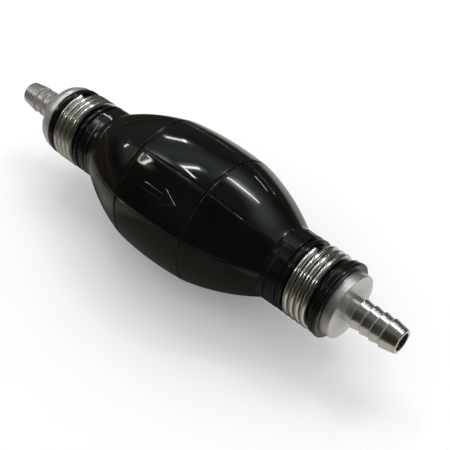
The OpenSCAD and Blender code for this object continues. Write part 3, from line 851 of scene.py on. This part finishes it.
def make_table_card():
    """The table as the pump's gloss sees it: pale behind the pump and at its ends, darker in
    front where the pump shades it, nearly black where it touches, and dark brown far off. A
    round sheet just above the floor, whose tones are laid over one another."""
    rise, thick = 0.3, 0.05
    radii = np.concatenate([np.arange(0, 160, 4.0), [170, 200, 260, 400, 900, 2000]])
    rr, aa = np.meshgrid(radii, np.linspace(0, 2 * np.pi, 144, endpoint=False), indexing="ij")
    x, y = rr * np.cos(aa), rr * np.sin(aa)
    table = np.stack([x, y, 0 * rr + REST_Z + rise], -1)
    shade = np.array([0.42, 0.405, 0.365]) + np.zeros((*rr.shape, 1))
    layers = [
        (smooth_step(-48, -64, x), (0.32, 0.31, 0.28)),
        (smooth_step(-12, 22, y), (0.60, 0.60, 0.57)),
        (soft_card(x - 6, y + 210, 52, 195, 9), (0.13, 0.125, 0.105)),
        (smooth_step(-58, -82, x) * smooth_step(20, 45, y), (0.22, 0.20, 0.17)),
        (smooth_step(110, 190, rr), (0.06, 0.048, 0.030)),
        (soft_card(x, y, 62, 20, 9), (0.03, 0.03, 0.025)),
    ]
    for mask, tone in layers:
        shade = shade + (np.array(tone) - shade) * mask[..., None]
    both = np.concatenate([table, (table - [0, 0, thick])[::-1]])
    reflector(grid_piece("table_card", both, True,
                         {"glow": np.concatenate([shade, shade[::-1]]).reshape(-1, 3)}))


def make_stage():
    """The white table that the pump rests on, and the room's even light. The table glows a
    little to the camera alone, which makes it white and keeps the shadow."""
    mesh = bpy.data.meshes.new("floor")
    half, z = FLOOR_HALF, REST_Z * MM
    mesh.from_pydata([(-half, -half, z), (half, -half, z), (half, half, z), (-half, half, z)], [],
                     [(0, 1, 2, 3)])
    floor = add_object("floor", mesh)
    material, tree, shader = blank_material("white_table")
    shader["Base Color"].default_value = (0.93, 0.93, 0.925, 1)
    shader["Roughness"].default_value = 0.6
    shader["Specular IOR Level"].default_value = 0.2
    shader["Emission Color"].default_value = (1, 1, 1, 1)
    seen = add_node(tree, "ShaderNodeLightPath").outputs["Is Camera Ray"]
    tree.links.new(math_node(tree, "MULTIPLY", seen, FLOOR_GLOW), shader["Emission Strength"])
    mesh.materials.append(material)
    world = bpy.data.worlds.new("room")
    bpy.context.scene.world = world
    world.use_nodes = True
    sky = world.node_tree.nodes["Background"]
    sky.inputs["Color"].default_value = (0.97, 0.985, 1.0, 1)
    sky.inputs["Strength"].default_value = 0.80


make_camera()
make_stage()
make_dome()
make_table_card()
# each lamp with its azimuth, elevation, width and height in degrees, and its radiance
softbox("window", 84.6, 58.9, 19.5, 1.4, 18, (0.97, 0.99, 1.0), roll=21.7)
softbox("long_lamp", 152, 59.2, 10, 1.5, 19, roll=-2)
softbox("long_lamp_end", 161.5, 63.2, 1.3, 6.5, 23, roll=-8)
softbox("small_window", 88, 36.4, 8, 1.0, 9)
softbox("low_window", 141, 36.9, 7.5, 1.3, 15, roll=-6)
softbox("low_window_end", 136.5, 36.6, 1.3, 2.4, 12)
softbox("side_lamp", -170.2, 17.6, 4.0, 1.3, 13, roll=-54)
softbox("soft_fill", 110, 60, 45, 30, 1.5, mirrored=False)

bulb_rubber = rubber("moulded_rubber", (0.0018, 0.0018, 0.0018), (0.0040, 0.0039, 0.0036),
                     gloss=0.045, wear=0.5, dust=0.008)
seal_rubber = rubber("seal_rubber", (0.012, 0.012, 0.012), (0.022, 0.021, 0.020),
                     gloss=0.48, wear=0.4, dust=0.05)
# the fittings and the clamp wires get painted shade in their hollows and between the turns
aluminium = metal("turned_aluminium", (0.84, 0.83, 0.81), (0.90, 0.89, 0.87),
                  rough=0.16, marks=6000, wear=0.35, hollow_shade=0.6)
dull_aluminium = metal("rubbed_aluminium", (0.86, 0.84, 0.82), (0.92, 0.90, 0.88),
                       rough=0.20, marks=6000, hollow_shade=1.0, haze=0.11)
wire = metal("plated_wire", (0.84, 0.83, 0.79), (0.91, 0.90, 0.87),
             rough=0.11, marks=1500, hollow_shade=0.55)
steel = metal("spring_steel", (0.46, 0.46, 0.46), (0.60, 0.60, 0.61),
              rough=0.26, marks=3000, tarnish=0.35)
brass = metal("stamped_brass", (0.66, 0.49, 0.22), (0.80, 0.62, 0.31),
              rough=0.27, marks=2500, tarnish=0.5)
acetal = acetal_material()


def dress(piece, finish, slot, *stands_for):
    """Gives a piece its finish and hides the CAD nodes that it stands for; slot is not used."""
    piece.data.materials.append(finish)
    if stands_for:
        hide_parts(*stands_for)
    return piece


# the bulb and its arrow take the rubber, the bulb hides the CAD bulb, and both are baked in place
for piece, nodes in ((make_bulb(), ["bulb"]), (make_arrow(), [])):
    dress(piece, bulb_rubber, "bulb_rubber", *nodes)
    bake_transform(piece)

inlet = fitting("inlet_fitting_turned", -1, INLET_FLANGE, INLET_FIRST_BARB, INLET_TIP,
                INLET_INSIDE)
outlet = fitting("outlet_fitting_turned", 1, OUTLET_FLANGE, OUTLET_FIRST_BARB, OUTLET_TIP,
                 OUTLET_INSIDE)
for side, piece, surface, clamp_x, (spring_x, anchor) in (
        ("inlet", inlet, dull_aluminium, INLET_CLAMP_X0, INLET_SPRING),
        ("outlet", outlet, aluminium, CLAMP_X0, OUTLET_SPRING)):
    dress(piece, surface, "turned_aluminium", side + "_fitting")
    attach(piece, "fittings")
    clamp = wound(side + "_clamp_wire", WIRE_R, WIRE_TURNS, WIRE_PITCH, WIRE_D,
                  clamp_x + WIRE_D / 2, WIRE_START, steps=72, sides=20)
    dress(clamp, wire, "plated_wire", side + "_clamp")
    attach(clamp, "fittings")
    room = SPRING_ROOM - SPRING_WIRE - 2 * SPRING_GAP
    spring = wound(side + "_spring_wire", SPRING_R, SPRING_TURNS, room / SPRING_TURNS,
                   SPRING_WIRE, spring_x + SPRING_GAP + SPRING_WIRE / 2, 0, steps=36, sides=12)
    dress(spring, steel, "spring_steel", side + "_spring")
    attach(spring, "fittings")
    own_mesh(spring)

finishes = {"seal": seal_rubber, "valve": acetal, "guide_plate": brass, "seat_ring": aluminium,
            "retaining_ring": steel}
for name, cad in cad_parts.items():
    kind = name.split("_", 1)[-1]
    if kind in finishes:
        cad.data.materials.clear()
        cad.data.materials.append(finishes[kind])

bpy.context.scene.view_settings.view_transform = "Standard"
